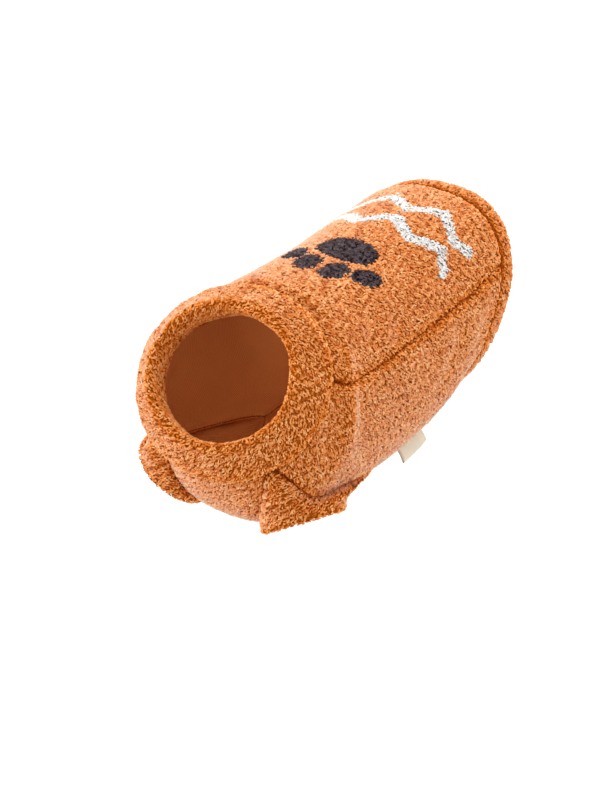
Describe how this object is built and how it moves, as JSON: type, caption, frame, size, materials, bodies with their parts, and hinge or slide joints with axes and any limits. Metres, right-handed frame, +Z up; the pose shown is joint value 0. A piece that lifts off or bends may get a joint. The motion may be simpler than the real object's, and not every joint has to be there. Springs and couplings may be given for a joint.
{
  "type": "pet pullover",
  "caption": "Hollow looped-pile knit pullover for a small dog in its worn shape, with a folded collar, short sleeves, a slanted hem band and a bare side tag.",
  "frame": {"origin": "on the inner face of the back, over the spine, where the wearer's back holds the pullover up", "axes": "+Z up, +Y from the neck towards the hem, -Y the way the neck points, +X the wearer's left; symmetric about X = 0 apart from the side tag"},
  "size_m": [0.1778, 0.3499, 0.1852],
  "materials": {
    "pile": "orange knit with a thick, matt pile of curly loops",
    "tape": "cream woven tape with a faint sheen"
  },
  "bodies": {
    "root": {"back_panel": "pile", "side_left": "pile", "side_right": "pile", "belly_panel": "pile", "sleeve_left": "pile", "sleeve_right": "pile", "collar": "pile", "hem_band": "pile", "side_tag": "tape"}
  },
  "joints": []
}
